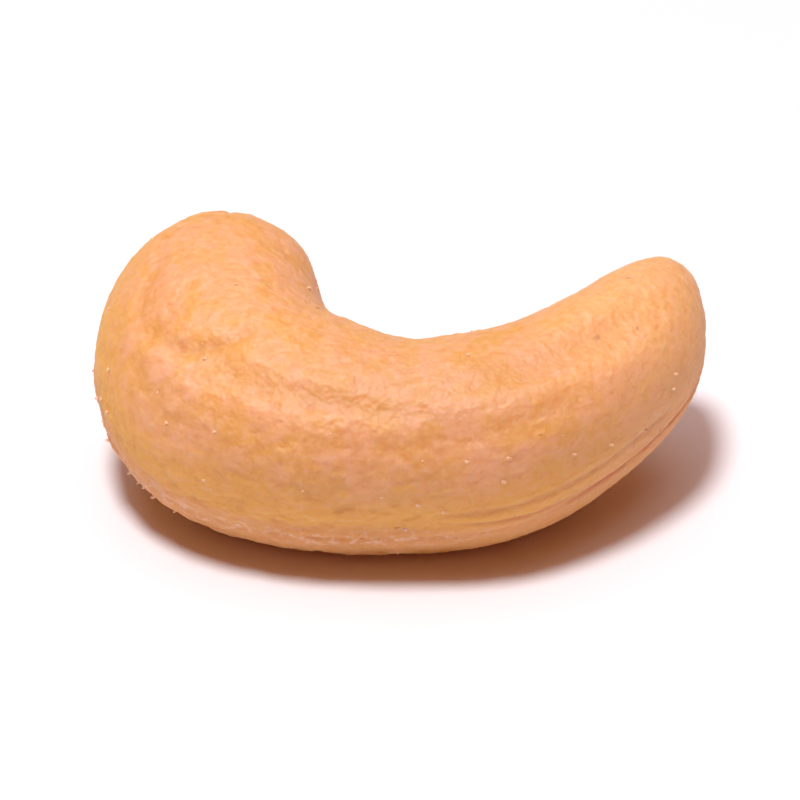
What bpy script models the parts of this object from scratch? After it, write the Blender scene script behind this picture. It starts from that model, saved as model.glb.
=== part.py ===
"""A whole roasted cashew kernel lying on its broad side, built as one closed solid.

Both halves of the seed are still joined, so the kernel is a single object. A sphere is carried
onto a bent, tapering body: its poles become the two ends and its rings become the sections.
A groove marks the seam between the halves, a nick marks the blunt end, and low folds give the
broad relief. A flat cut under the belly gives the kernel a face to rest on.

X runs along the kernel, Y away from the viewer and Z up. Coordinates are in metres.
"""

import math

import bmesh
import bpy
import numpy as np

MM = 0.001

# Fineness of the sphere that becomes the kernel.
RINGS = 60
SIDES = 64
SEAM_CROWDING = 0.7    # 0 spaces the sides evenly, values towards 1 crowd them at the seam
CROWDING_FADE = 4      # the crowding fades out towards both ends, later for a higher power

# Middle line of the kernel, from the blunt end (share 0) to the slim end (share 1).
LINE_LENGTH = 33.0 * MM
LINE_START = (-7.5 * MM, 8.0 * MM)
LINE_STEPS = 800

# Stations at equal shares of the middle line. Each row holds the heading of the line in degrees,
# then in millimetres the half width towards the outer curve, the half width towards the inner
# bay, and the half thickness.
STATIONS = (
    (-99.4, 4.1, 5.6, 4.6),
    (-90.5, 5.8, 4.9, 5.2),
    (-60.1, 6.8, 4.8, 5.8),
    (-25.1, 5.3, 5.0, 6.0),
    (-4.2, 4.4, 4.6, 5.9),
    (14.4, 4.4, 4.5, 5.7),
    (36.0, 4.0, 4.0, 5.3),
    (53.4, 3.8, 3.2, 4.6),
    (55.2, 2.7, 2.4, 3.9),
)
HEADING, OUTER, INNER, THICKNESS = range(4)

# Sections are superellipses, a little fuller than an ellipse. The ends close the more bluntly the
# higher their rounding power.
SECTION_POWER = 2.2
BLUNT_END_POWER = 5.8
SLIM_END_POWER = 7.3

# The middle line without its ends: grooves are pressed in towards it.
HEART_FROM = 0.12
HEART_TO = 0.90

# Seam between the two halves, all round the rim and over both ends.
SEAM_DEPTH = 0.32 * MM
SEAM_HALF_WIDTH = 0.33 * MM

# Nick across the top of the blunt end.
NICK_DEPTH = 0.55 * MM
NICK_HALF_WIDTH = 0.42 * MM
NICK_REACH = 1.6 * MM

# Folds of the broad sides. A place on a side is its share along the kernel and its position
# across it, from -1 at the bay to +1 at the outer rim.
UPPER = 1
UNDER = -1
ACROSS_SCALE = 4.6     # half width in millimetres that turns a position across into a distance
FADE_POWER = 4         # a fold keeps its height over most of its reach, then fades quickly

# Long folds follow the kernel. Each row holds a name, the side, the height and the half width in
# millimetres (a furrow has a height below zero), the share of the middle of the fold and its reach
# to either side, then its position across at the middle, with its slope and bend along the share.
LONG_FOLDS = (
    ("outer furrow", UPPER, -0.20, 0.60, 0.33, 0.20, 0.57, -0.20, 0.0),
    ("middle furrow", UPPER, -0.30, 0.60, 0.40, 0.16, 0.20, -0.20, 4.0),
    ("long ridge", UPPER, 0.30, 0.90, 0.52, 0.28, 0.39, -0.15, 1.2),
    ("arm furrow", UPPER, -0.18, 0.70, 0.65, 0.14, 0.49, 0.25, 3.0),
    ("arm hollow", UPPER, -0.32, 1.30, 0.75, 0.13, -0.02, 1.00, 4.0),
    ("under ridge", UNDER, 0.24, 0.90, 0.54, 0.27, -0.14, 0.10, 0.0),
    ("under furrow", UNDER, -0.26, 0.70, 0.50, 0.24, -0.42, 0.10, 0.0),
)

# Curved creases round the bulge of the blunt lobe. Each row holds a name, the side, the height and
# the half width in millimetres, the share and position across of the centre of the bulge, the
# radius in millimetres, then the heading of the middle of the crease and its spread in degrees,
# with 0 towards the slim end and 90 towards the outer rim.
LOBE_CREASES = (
    ("upper lobe crease", UPPER, -0.36, 0.55, 0.17, -0.15, 3.0, 45, 80),
    ("under lobe crease", UNDER, -0.30, 0.60, 0.17, -0.15, 2.8, 40, 75),
)

# Lie of the kernel: its broad face leans towards the viewer and its slim end is a little raised.
LEAN = math.radians(25)
ROLL = math.radians(-2.5)
FLAT_DEPTH = 0.80 * MM
CUTTER_MARGIN = 2.0 * MM

KERNEL_COLOR = (0.78, 0.44, 0.19, 1.0)
KERNEL_ROUGHNESS = 0.48


def clear_scene():
    """Remove every object of the startup scene."""
    for obj in list(bpy.data.objects):
        bpy.data.objects.remove(obj, do_unlink=True)


def make_collection(name, hidden=False):
    """Add a collection to the scene; a hidden one is left out of renders."""
    collection = bpy.data.collections.new(name)
    collection.hide_render = hidden
    bpy.context.scene.collection.children.link(collection)
    return collection


def station_value(share, column):
    """Read one column of the stations at any share, on a smooth curve through the rows."""
    rows = np.array(STATIONS, dtype=float)[:, column]
    slopes = np.gradient(rows)
    last = len(rows) - 1
    row = np.clip(np.floor(share * last).astype(int), 0, last - 1)
    t = share * last - row
    start_weight = 2 * t**3 - 3 * t**2 + 1
    start_slope_weight = t**3 - 2 * t**2 + t
    end_slope_weight = t**3 - t**2
    return (start_weight * rows[row] + (1 - start_weight) * rows[row + 1]
            + start_slope_weight * slopes[row] + end_slope_weight * slopes[row + 1])


def middle_line(share):
    """Follow the headings along the middle line; the points lie in the plane of the seam."""
    steps = np.linspace(0, 1, LINE_STEPS + 1)
    heading = np.radians(station_value(steps, HEADING))
    step_length = LINE_LENGTH / LINE_STEPS
    points = []
    for start, slope in zip(LINE_START, (np.cos(heading), np.sin(heading))):
        moves = (slope[1:] + slope[:-1]) / 2 * step_length
        places = start + np.concatenate(([0.0], np.cumsum(moves)))
        points.append(np.interp(share, steps, places))
    return np.column_stack((points[0], points[1], np.zeros_like(share)))


def end_closing(share):
    """Scale of a section: 1 along the body and 0 at both ends."""
    to_blunt = 1 - 2 * np.minimum(share, 0.5)
    to_slim = 2 * np.maximum(share, 0.5) - 1
    blunt = np.sqrt(np.clip(1 - to_blunt**BLUNT_END_POWER, 0, 1))
    slim = np.sqrt(np.clip(1 - to_slim**SLIM_END_POWER, 0, 1))
    return blunt * slim


def section(angle):
    """Position across (+1 at the outer rim) and position in thickness (+1 on the upper side)."""
    power = 2 / SECTION_POWER
    across = np.sign(np.cos(angle)) * np.abs(np.cos(angle))**power
    through = np.sign(np.sin(angle)) * np.abs(np.sin(angle))**power
    return across, through


def body_points(share, angle):
    """Points of the plain body, before grooves and folds."""
    across, through = section(angle)
    heading = np.radians(station_value(share, HEADING))
    closing = end_closing(share) * MM
    half_width = np.where(across > 0, station_value(share, OUTER), station_value(share, INNER))
    outward = np.column_stack((np.sin(heading), -np.cos(heading), np.zeros_like(share)))
    points = middle_line(share) + outward * (across * half_width * closing)[:, None]
    points[:, 2] = through * station_value(share, THICKNESS) * closing
    return points


def press_in(points, share, depth):
    """Move points by a depth towards the middle line, so that grooves also run over the ends."""
    heart = middle_line(np.clip(share, HEART_FROM, HEART_TO))
    inward = heart - points
    inward /= np.linalg.norm(inward, axis=1)[:, None]
    return points + inward * depth[:, None]


def seam_depth(points):
    """Depth of the groove where the two halves meet."""
    return SEAM_DEPTH * np.exp(-(points[:, 2] / SEAM_HALF_WIDTH)**2)


def nick_depth(points):
    """Depth of the nick that crosses the blunt end."""
    sideways = (points[:, 0] - LINE_START[0]) / NICK_HALF_WIDTH
    below_end = (points[:, 1] - LINE_START[1]) / NICK_REACH
    return NICK_DEPTH * np.exp(-sideways**2 - below_end**2)


def long_fold(share, across, height, half_width, middle, reach, position, slope, bend):
    """Height in millimetres of one fold that follows the kernel."""
    from_middle = share - middle
    line = position + slope * from_middle + bend * from_middle**2
    gap = (across - line) * ACROSS_SCALE / half_width
    return height * np.exp(-gap**2 - (from_middle / reach)**FADE_POWER)


def lobe_crease(share, across, height, half_width, middle, position, radius, heading, spread):
    """Height in millimetres of one crease that curves round the bulge of the lobe."""
    forward = (share - middle) * LINE_LENGTH / MM
    sideways = (across - position) * ACROSS_SCALE
    gap = (np.hypot(forward, sideways) - radius) / half_width
    turn = np.degrees(np.arctan2(sideways, forward)) - heading
    return height * np.exp(-gap**2 - (turn / spread)**FADE_POWER)


def fold_height(share, angle):
    """Height of all folds, towards the side on which each one lies."""
    across, through = section(angle)
    height = np.zeros_like(share)
    for shape, rows in ((long_fold, LONG_FOLDS), (lobe_crease, LOBE_CREASES)):
        for _name, side, *sizes in rows:
            height += np.where(through * side > 0, side * shape(share, across, *sizes), 0)
    return height * MM


def kernel_points(share, angle):
    """Finished surface points, still lying flat in the plane of the seam."""
    points = body_points(share, angle)
    points[:, 2] += fold_height(share, angle)
    return press_in(points, share, seam_depth(points) + nick_depth(points))


def lay_down(points):
    """Lean and roll the kernel, sink it by the depth of the flat and centre it on the origin."""
    upright = np.array((
        (1, 0, 0),
        (0, math.cos(LEAN), -math.sin(LEAN)),
        (0, math.sin(LEAN), math.cos(LEAN)),
    ))
    rolled = np.array((
        (math.cos(ROLL), 0, math.sin(ROLL)),
        (0, 1, 0),
        (-math.sin(ROLL), 0, math.cos(ROLL)),
    ))
    points = points @ (rolled @ upright).T
    low = points.min(axis=0)
    high = points.max(axis=0)
    middle = (low + high) / 2
    return points - (middle[0], middle[1], low[2] + FLAT_DEPTH)


def kernel_material():
    """Creamy, slightly satin roasted surface."""
    material = bpy.data.materials.new("roasted_kernel")
    material.use_nodes = True
    shader = material.node_tree.nodes["Principled BSDF"]
    shader.inputs["Base Color"].default_value = KERNEL_COLOR
    shader.inputs["Roughness"].default_value = KERNEL_ROUGHNESS
    return material


def make_kernel(collection):
    """Carry a sphere onto the bent kernel."""
    bm = bmesh.new()
    bmesh.ops.create_uvsphere(bm, u_segments=SIDES, v_segments=RINGS, radius=1)
    sphere = np.array([vertex.co[:] for vertex in bm.verts])
    share = (1 - sphere[:, 2]) / 2
    turn = np.arctan2(sphere[:, 1], sphere[:, 0])
    crowding = SEAM_CROWDING * (1 - (2 * share - 1)**CROWDING_FADE)
    angle = turn - crowding * np.sin(2 * turn) / 2
    for vertex, place in zip(bm.verts, lay_down(kernel_points(share, angle))):
        vertex.co = place
    for face in bm.faces:
        face.smooth = True
    mesh = bpy.data.meshes.new("cashew_kernel")
    bm.to_mesh(mesh)
    bm.free()
    kernel = bpy.data.objects.new("cashew_kernel", mesh)
    kernel.data.materials.append(kernel_material())
    collection.objects.link(kernel)
    return kernel


def make_rest_cutter(kernel, collection):
    """Box below the ground plane, wider than the kernel."""
    size = [side + 2 * CUTTER_MARGIN for side in kernel.dimensions]
    bm = bmesh.new()
    bmesh.ops.create_cube(bm, size=1)
    for vertex in bm.verts:
        vertex.co.x *= size[0]
        vertex.co.y *= size[1]
        vertex.co.z = (vertex.co.z - 0.5) * size[2]
    mesh = bpy.data.meshes.new("rest_cutter")
    bm.to_mesh(mesh)
    bm.free()
    cutter = bpy.data.objects.new("rest_cutter", mesh)
    cutter.display_type = "WIRE"
    cutter.hide_render = True
    collection.objects.link(cutter)
    return cutter


def cut_rest_spot(kernel, cutter):
    """Cut the belly flat where the kernel touches the ground."""
    cut = kernel.modifiers.new("rest_spot", "BOOLEAN")
    cut.operation = "DIFFERENCE"
    cut.solver = "EXACT"
    cut.object = cutter


def main():
    """Build the kernel and its flat spot."""
    clear_scene()
    kernel_collection = make_collection("roasted_cashew")
    cutter_collection = make_collection("cutters", hidden=True)
    kernel = make_kernel(kernel_collection)
    cutter = make_rest_cutter(kernel, cutter_collection)
    cut_rest_spot(kernel, cutter)


main()
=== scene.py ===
# %% [markdown]
# # A roasted, salted cashew nut
#
# This lesson dresses one cashew kernel for a close studio picture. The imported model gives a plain
# solid. Here a finer kernel takes its place, with wrinkled skin, a flaky seam and salt grains. It
# could be sculpted by hand, but each form here follows a rule, so any size can still be changed.
# Meshes, lamps and camera are in metres. The sizes that go into the trees, the zones of the
# materials and names ending in _MM are in millimetres, and a share runs from 0 to 1.

import math

import bpy
import numpy as np
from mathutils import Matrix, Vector


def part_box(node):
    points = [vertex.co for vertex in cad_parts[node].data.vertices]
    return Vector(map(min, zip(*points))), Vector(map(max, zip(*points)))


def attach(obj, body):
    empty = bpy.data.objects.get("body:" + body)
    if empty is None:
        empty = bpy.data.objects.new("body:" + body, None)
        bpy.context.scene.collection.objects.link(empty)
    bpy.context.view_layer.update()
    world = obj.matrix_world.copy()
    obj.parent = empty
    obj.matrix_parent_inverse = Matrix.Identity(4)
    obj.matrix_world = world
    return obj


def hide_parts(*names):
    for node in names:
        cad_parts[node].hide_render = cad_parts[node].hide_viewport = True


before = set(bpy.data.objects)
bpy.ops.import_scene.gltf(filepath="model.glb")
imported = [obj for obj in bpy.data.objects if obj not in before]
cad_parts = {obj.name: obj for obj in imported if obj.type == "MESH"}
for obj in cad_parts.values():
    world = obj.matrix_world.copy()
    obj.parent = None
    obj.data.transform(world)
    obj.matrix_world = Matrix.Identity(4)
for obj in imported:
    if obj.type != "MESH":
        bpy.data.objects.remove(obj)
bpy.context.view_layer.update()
MM = 0.001
KERNEL_NODE = "cashew_kernel"
node_low, node_high = (np.array(corner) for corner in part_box(KERNEL_NODE))
print("packed kernel in mm:", np.round((node_high - node_low) / MM, 2))

# %% [markdown]
# ## Writing node trees as sums
#
# A wrinkle is a formula, and `1 - mask * depth` is easier to read than a pile of boxes and
# cables wired by hand. `Value` wraps one output of a node. Arithmetic on it adds the Math nodes
# that do the same sum, so the trees below read like ordinary Python.

# %% A wrapper for node sockets


class Value:
    """One output of a node. Sums and products of numbers on it become Math nodes."""

    def __init__(self, maker, socket):
        self.maker = maker
        self.socket = socket

    def output(self, name):
        """Another output of the same node."""
        return Value(self.maker, self.socket.node.outputs[name])

    def math(self, operation, *others):
        return self.maker.math(operation, self, *others)

    def __add__(self, other):
        return self.math("ADD", other)

    __radd__ = __add__

    def __mul__(self, other):
        return self.math("MULTIPLY", other)

    __rmul__ = __mul__

    def __sub__(self, other):
        return self.math("SUBTRACT", other)

    def __rsub__(self, other):
        return self.maker.math("SUBTRACT", other, self)

    def __truediv__(self, other):
        return self.math("DIVIDE", other)

    def __pow__(self, power):
        return self.math("POWER", power)

    def __neg__(self):
        return self * -1

    def bell(self):
        """1 where the value is 0, falling smoothly to 0 beyond 1 on either side."""
        return (-(self * self)).math("EXPONENT")


class NodeMaker:
    """Adds nodes to a tree and sets them out in rows, for whoever opens the tree later."""

    ROW_LENGTH = 24
    STEP = (190, -240)

    def __init__(self, tree):
        self.tree = tree

    def add(self, kind, settings=None, inputs=None, output=0):
        """Add a node, set its settings, then its inputs, and wrap one of its outputs."""
        node = self.tree.nodes.new(kind)
        row, column = divmod(len(self.tree.nodes) - 1, self.ROW_LENGTH)
        node.location = (column * self.STEP[0], row * self.STEP[1])
        for name, setting in (settings or {}).items():
            setattr(node, name, setting)
        for name, value in (inputs or {}).items():
            if isinstance(value, Value):
                self.tree.links.new(value.socket, node.inputs[name])
            else:
                node.inputs[name].default_value = value
        return Value(self, node.outputs[output]) if len(node.outputs) else node

    def math(self, operation, *values):
        return self.add("ShaderNodeMath", {"operation": operation}, dict(enumerate(values)))

    def vector(self, operation, *values, output=0):
        return self.add("ShaderNodeVectorMath", {"operation": operation}, dict(enumerate(values)),
                        output)

    def scaled(self, vector, scale):
        return self.add("ShaderNodeVectorMath", {"operation": "SCALE"}, {0: vector, "Scale": scale})

    def mix(self, amount, first, second):
        """Blend two colours."""
        return self.add("ShaderNodeMix", {"data_type": "RGBA"},
                        {"Factor": amount, 6: first, 7: second}, output=2)

    def ramp(self, value, low, high, before=0.0, after=1.0):
        """One number below low, another above high, and smooth between them."""
        return self.add("ShaderNodeMapRange", {"interpolation_type": "SMOOTHSTEP"}, {
            "Value": value, "From Min": low, "From Max": high, "To Min": before, "To Max": after})

    def zone(self, value, limits):
        """1 over a stretch of values, given by its start, full, fading and end values."""
        start, full, fading, end = limits
        return self.ramp(value, start, full) * self.ramp(value, fading, end, 1.0, 0.0)

    def noise(self, place, scale, detail=2.0, roughness=0.5):
        """Soft noise around 0.5, with its scale in bumps per unit of place."""
        return self.add("ShaderNodeTexNoise", None, {
            "Vector": place, "Scale": scale, "Detail": detail, "Roughness": roughness})

    def swing(self, place, scale, detail=2.0, roughness=0.5):
        """The same noise around 0."""
        return self.noise(place, scale, detail, roughness) - 0.5

    def shake(self, place, scale, detail=2.0):
        """Three such noises as a vector, to move places about."""
        colors = self.noise(place, scale, detail).output("Color")
        return self.vector("SUBTRACT", colors, (0.5, 0.5, 0.5))

    def spots(self, place, scale, low, high, detail=2.0, roughness=0.5):
        """Soft-edged spots: 1 where the noise is above high, 0 where it is below low."""
        return self.ramp(self.noise(place, scale, detail, roughness), low, high)


# %% [markdown]
# ## Growing a mesh with Geometry Nodes
#
# A tree's sizes are named inputs, so they can be tried out in the modifier panel. The script sets
# them by the socket's identifier, reads the result back as a plain mesh and takes the modifier
# off again, because the finished piece has to be an ordinary mesh.

# %% Helpers for geometry trees
SOCKET_KINDS = {float: "NodeSocketFloat", int: "NodeSocketInt"}


def start_tree(name, sizes):
    """A geometry tree with named inputs. Returns its maker, its geometry and its sizes."""
    tree = bpy.data.node_groups.new(name, "GeometryNodeTree")
    tree.interface.new_socket("Geometry", in_out="INPUT", socket_type="NodeSocketGeometry")
    tree.interface.new_socket("Geometry", in_out="OUTPUT", socket_type="NodeSocketGeometry")
    for label, size in sizes.items():
        socket = tree.interface.new_socket(label, in_out="INPUT",
                                           socket_type=SOCKET_KINDS[type(size)])
        socket.default_value = size
    maker = NodeMaker(tree)
    geometry = maker.add("NodeGroupInput")
    return maker, geometry, {label: geometry.output(label) for label in sizes}


def finish_tree(maker, geometry, material):
    """End the tree in real, painted geometry."""
    real = maker.add("GeometryNodeRealizeInstances", None, {"Geometry": geometry})
    painted = maker.add("GeometryNodeSetMaterial", None, {"Geometry": real, "Material": material})
    maker.add("NodeGroupOutput", None, {"Geometry": painted})
    return maker.tree


def grow(name, source_mesh, tree, sizes):
    """Run a tree on a copy of a mesh and return the result as a plain mesh object."""
    obj = bpy.data.objects.new(name, source_mesh.copy())
    bpy.context.scene.collection.objects.link(obj)
    modifier = obj.modifiers.new(name, "NODES")
    modifier.node_group = tree
    for item in tree.interface.items_tree:
        if item.in_out == "INPUT" and item.name in sizes:
            modifier[item.identifier] = sizes[item.name]
    seen = obj.evaluated_get(bpy.context.evaluated_depsgraph_get())
    plain = bpy.data.meshes.new_from_object(seen, preserve_all_data_layers=True,
                                            depsgraph=bpy.context.evaluated_depsgraph_get())
    obj.modifiers.remove(modifier)
    obj.data = plain
    plain.name = name
    print(name, "has", sum(len(face.vertices) - 2 for face in plain.polygons), "triangles")
    return obj


def named(maker, name, kind="FLOAT"):
    """Read an attribute that was stored on the geometry."""
    return maker.add("GeometryNodeInputNamedAttribute", {"data_type": kind}, {"Name": name})


def store(maker, geometry, name, value, kind="FLOAT"):
    """Keep a value on every point under a name."""
    return maker.add("GeometryNodeStoreNamedAttribute", {"data_type": kind, "domain": "POINT"},
                     {"Geometry": geometry, "Name": name, "Value": value})


def position(maker):
    """Where a point is."""
    return maker.add("GeometryNodeInputPosition")


def move(maker, geometry, offset):
    return maker.add("GeometryNodeSetPosition", None, {"Geometry": geometry, "Offset": offset})


def put(maker, geometry, place):
    return maker.add("GeometryNodeSetPosition", None, {"Geometry": geometry, "Position": place})


def split(maker, vector):
    """The three numbers of a vector."""
    parts = maker.add("ShaderNodeSeparateXYZ", None, {0: vector})
    return parts, parts.output("Y"), parts.output("Z")


def join(maker, x=0.0, y=0.0, z=0.0):
    """A vector from three numbers."""
    return maker.add("ShaderNodeCombineXYZ", None, {"X": x, "Y": y, "Z": z})


# %% [markdown]
# ## The middle line
#
# A cashew is a sausage shape bent round a bay. Bending one with a lattice would hide its sizes,
# so its middle line is drawn first, as a chain of short edges: at nine stations the line has a
# heading, and smooth curves run through the rows. Each point also carries the half widths towards
# the outer curve and the bay, and the half thickness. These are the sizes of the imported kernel.

# %% Draw the middle line
LINE_LENGTH_MM = 33.0
LINE_START_MM = (-7.5, 8.0)
LINE_STEPS = 800
STATIONS = np.array((
    # heading in degrees, then outer, inner and thickness in mm
    (-99.4, 4.1, 5.6, 4.6),
    (-90.5, 5.8, 4.9, 5.2),
    (-60.1, 6.8, 4.8, 5.8),
    (-25.1, 5.3, 5.0, 6.0),
    (-4.2, 4.4, 4.6, 5.9),
    (14.4, 4.4, 4.5, 5.7),
    (36.0, 4.0, 4.0, 5.3),
    (53.4, 3.8, 3.2, 4.6),
    (55.2, 2.7, 2.4, 3.9),
))


def smooth_rows(share):
    """The station values at any share of the line, on a smooth curve through the rows."""
    slopes = np.gradient(STATIONS, axis=0)
    last = len(STATIONS) - 1
    row = np.clip(np.floor(share * last).astype(int), 0, last - 1)
    t = (share * last - row)[:, None]
    start_weight = 2 * t**3 - 3 * t**2 + 1
    return (start_weight * STATIONS[row] + (1 - start_weight) * STATIONS[row + 1]
            + (t**3 - 2 * t**2 + t) * slopes[row] + (t**3 - t**2) * slopes[row + 1])


def draw_middle_line():
    """A chain of edges in the plane of the seam, with the half sizes on its points."""
    rows = smooth_rows(np.linspace(0, 1, LINE_STEPS + 1))
    heading = np.radians(rows[:, 0])
    steps = np.column_stack((np.cos(heading), np.sin(heading))) * LINE_LENGTH_MM / LINE_STEPS
    moves = (steps[1:] + steps[:-1]) / 2
    places = np.vstack(((0, 0), np.cumsum(moves, axis=0))) + LINE_START_MM
    points = np.column_stack((places, np.zeros(len(places)))) * MM
    mesh = bpy.data.meshes.new("middle_line")
    mesh.from_pydata(points, [(i, i + 1) for i in range(LINE_STEPS)], [])
    sizes = mesh.attributes.new("half_sizes", "FLOAT_VECTOR", "POINT")
    sizes.data.foreach_set("vector", (rows[:, 1:] * MM).astype(np.float32).ravel())
    return mesh


middle_line = draw_middle_line()
print("middle line runs from", LINE_START_MM, "to",
      np.round(np.array(middle_line.vertices[-1].co) / MM, 1))

# %% [markdown]
# ## Folds on the broad sides
#
# Roasting dries the flesh and leaves long, low folds along the kernel, and a crease round the
# bulge of the blunt lobe. They could be sculpted, but not moved later. Here a fold is one small
# formula: a bell curve across a line that slopes and bends. It is built once as a node group and
# used again for every row of the table.

# %% Node groups for the folds
UPPER, UNDER = 1.0, -1.0
ACROSS_SCALE_MM = 4.6
FOLD_INPUTS = ("Side", "Height", "Half width", "Middle", "Reach", "Position", "Slope", "Bend")
LONG_FOLDS = {
    "lobe furrow": (UPPER, -0.08, 0.32, 0.13, 0.07, 0.52, -0.80, 0.0),
    "lobe ridge": (UPPER, 0.10, 0.50, 0.23, 0.08, 0.58, -0.50, 0.0),
    "outer furrow": (UPPER, -0.06, 0.50, 0.42, 0.13, 0.56, -0.15, 0.0),
    "middle furrow": (UPPER, -0.19, 0.55, 0.40, 0.14, 0.20, -0.20, 4.0),
    "long ridge": (UPPER, 0.06, 1.10, 0.50, 0.30, 0.42, -0.15, 1.2),
    "arm ridge": (UPPER, 0.10, 0.60, 0.74, 0.09, 0.56, -0.45, 0.0),
    "arm furrow": (UPPER, -0.18, 0.70, 0.65, 0.14, 0.49, 0.25, 3.0),
    "arm hollow": (UPPER, -0.32, 1.30, 0.75, 0.13, -0.02, 1.00, 4.0),
    "under ridge": (UNDER, 0.24, 0.90, 0.54, 0.27, -0.14, 0.10, 0.0),
    "under furrow": (UNDER, -0.26, 0.70, 0.50, 0.24, -0.42, 0.10, 0.0),
}
CREASE_INPUTS = ("Side", "Height", "Half width", "Middle", "Position", "Radius", "Heading",
                 "Spread")
LOBE_CREASES = {
    "upper lobe crease": (UPPER, -0.24, 0.34, 0.17, -0.15, 3.4, 58.0, 50.0),
    "under lobe crease": (UNDER, -0.30, 0.60, 0.17, -0.15, 2.8, 40.0, 75.0),
}


def start_group(name, labels):
    """A node group with number inputs and one number output called Height."""
    group = bpy.data.node_groups.new(name, "GeometryNodeTree")
    for label in ("Share", "Across", "Through", *labels):
        group.interface.new_socket(label, in_out="INPUT", socket_type="NodeSocketFloat")
    group.interface.new_socket("Height", in_out="OUTPUT", socket_type="NodeSocketFloat")
    maker = NodeMaker(group)
    first = maker.add("NodeGroupInput")
    return maker, first.output


def finish_group(maker, size, shape):
    """Raise a shape by the fold's height, on its own side of the kernel alone."""
    on_side = (size("Through") * size("Side")).math("GREATER_THAN", 0.0)
    maker.add("NodeGroupOutput", None, {"Height": size("Height") * size("Side") * on_side * shape})
    return maker.tree


def long_fold_group():
    """A fold that follows the kernel."""
    maker, size = start_group("long fold", FOLD_INPUTS)
    from_middle = size("Share") - size("Middle")
    line = size("Position") + size("Slope") * from_middle + size("Bend") * from_middle ** 2
    gap = (size("Across") - line) * ACROSS_SCALE_MM / size("Half width")
    fade = (from_middle / size("Reach")) ** 2
    return finish_group(maker, size, gap.bell() * fade.bell())


def lobe_crease_group():
    """A crease that curves round the bulge of the lobe."""
    maker, size = start_group("lobe crease", CREASE_INPUTS)
    forward = (size("Share") - size("Middle")) * LINE_LENGTH_MM
    sideways = (size("Across") - size("Position")) * ACROSS_SCALE_MM
    distance = (forward * forward + sideways * sideways).math("SQRT")
    gap = (distance - size("Radius")) / size("Half width")
    turn = sideways.math("ARCTAN2", forward).math("DEGREES") - size("Heading")
    fade = (turn / size("Spread")) ** 2
    return finish_group(maker, size, gap.bell() * fade.bell())


def all_folds(maker, share, across, through):
    """The height of every fold together, in millimetres."""
    heights = []
    for group, labels, rows in ((long_fold_group(), FOLD_INPUTS, LONG_FOLDS),
                                (lobe_crease_group(), CREASE_INPUTS, LOBE_CREASES)):
        for label, numbers in rows.items():
            heights.append(maker.add("GeometryNodeGroup", {"node_tree": group, "label": label}, {
                "Share": share, "Across": across, "Through": through,
                **dict(zip(labels, numbers))}))
    return sum(heights[1:], heights[0])


print("folds to raise or press in:", len(LONG_FOLDS) + len(LOBE_CREASES))

# %% [markdown]
# ## The body
#
# The kernel is a solid lump of flesh without an edge, so a sphere is carried onto the middle line.
# A curve with a swept profile would leave open ends, while a sphere closes by itself. Its height
# turns into the share along the kernel, its compass angle into the place round the section. A
# section is a superellipse, a little fuller than an ellipse.

# %% Carry a sphere onto the line
SECTION_POWER = 2.2
BLUNT_END_POWER = 5.8
SLIM_END_POWER = 7.3
CROWDING_FADE = 4.0


def rounded(wave):
    """Sine or cosine reshaped from a circle to the superellipse."""
    return wave.math("SIGN") * wave.math("ABSOLUTE") ** (2 / SECTION_POWER)


def on_line(maker, line, share):
    """Sample the middle line. Gives the place, the heading and the half sizes there."""
    sample = maker.add("GeometryNodeSampleCurve",
                       {"mode": "FACTOR", "data_type": "FLOAT_VECTOR"},
                       {"Curves": line, "Value": named(maker, "half_sizes", "FLOAT_VECTOR"),
                        "Factor": share})
    return sample.output("Position"), sample.output("Tangent"), sample.output("Value")


def place_on_kernel(maker):
    """Where a point is: its share along the kernel, and across and through its section."""
    return [named(maker, name) for name in ("share", "across", "through")]


def store_places(maker, sphere, crowding):
    """Turn places on the sphere into places on the kernel, with more points near the seam."""
    x, y, z = split(maker, position(maker))
    share = (1 - z) / 2
    turn = y.math("ARCTAN2", x)
    crowding = crowding * (1 - (2 * share - 1) ** CROWDING_FADE)
    angle = turn - crowding * (2 * turn).math("SINE") / 2
    sphere = store(maker, sphere, "share", share)
    sphere = store(maker, sphere, "across", rounded(angle.math("COSINE")))
    return store(maker, sphere, "through", rounded(angle.math("SINE")))


def closing_ends(share):
    """1 along most of the kernel, falling to 0 where it closes at both ends."""
    to_blunt = 1 - 2 * share.math("MINIMUM", 0.5)
    to_slim = 2 * share.math("MAXIMUM", 0.5) - 1
    blunt = (1 - to_blunt ** BLUNT_END_POWER).math("MAXIMUM", 0.0).math("SQRT")
    slim = (1 - to_slim ** SLIM_END_POWER).math("MAXIMUM", 0.0).math("SQRT")
    return blunt * slim


def wrap_round_line(maker, sphere, line):
    """Set every point round the line, and store where it is on the straightened kernel."""
    share, across, through = place_on_kernel(maker)
    place, tangent, half_sizes = on_line(maker, line, share)
    outer, inner, thickness = split(maker, half_sizes)
    half_width = inner + (outer - inner) * across.math("GREATER_THAN", 0.0)
    closing = closing_ends(share)
    sideways = across * half_width * closing
    upward = through * thickness * closing
    tangent_x, tangent_y, _ = split(maker, tangent)
    folds = all_folds(maker, share, across, through)
    sphere = store(maker, sphere, "folds", folds * through.math("SIGN"))
    straight = join(maker, share * LINE_LENGTH_MM, sideways / MM, upward / MM)
    sphere = store(maker, sphere, "straight", straight, "FLOAT_VECTOR")
    offset = join(maker, tangent_y * sideways, -(tangent_x * sideways), upward + folds * MM)
    return put(maker, sphere, maker.vector("ADD", place, offset))


# %% [markdown]
# ## Seam, nick and flat spot
#
# The two halves of the seed meet in a seam right round the kernel. It is closed for most of its
# length, a little open near the slim end, and wanders in the bay. The tip of the germ leaves a
# nick on the blunt lobe, deepest at its upper end. Booleans would cut sharp, even slots, while
# points pushed in towards the heart of the kernel keep the soft edges of flesh. At last the
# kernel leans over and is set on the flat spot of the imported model.

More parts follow.
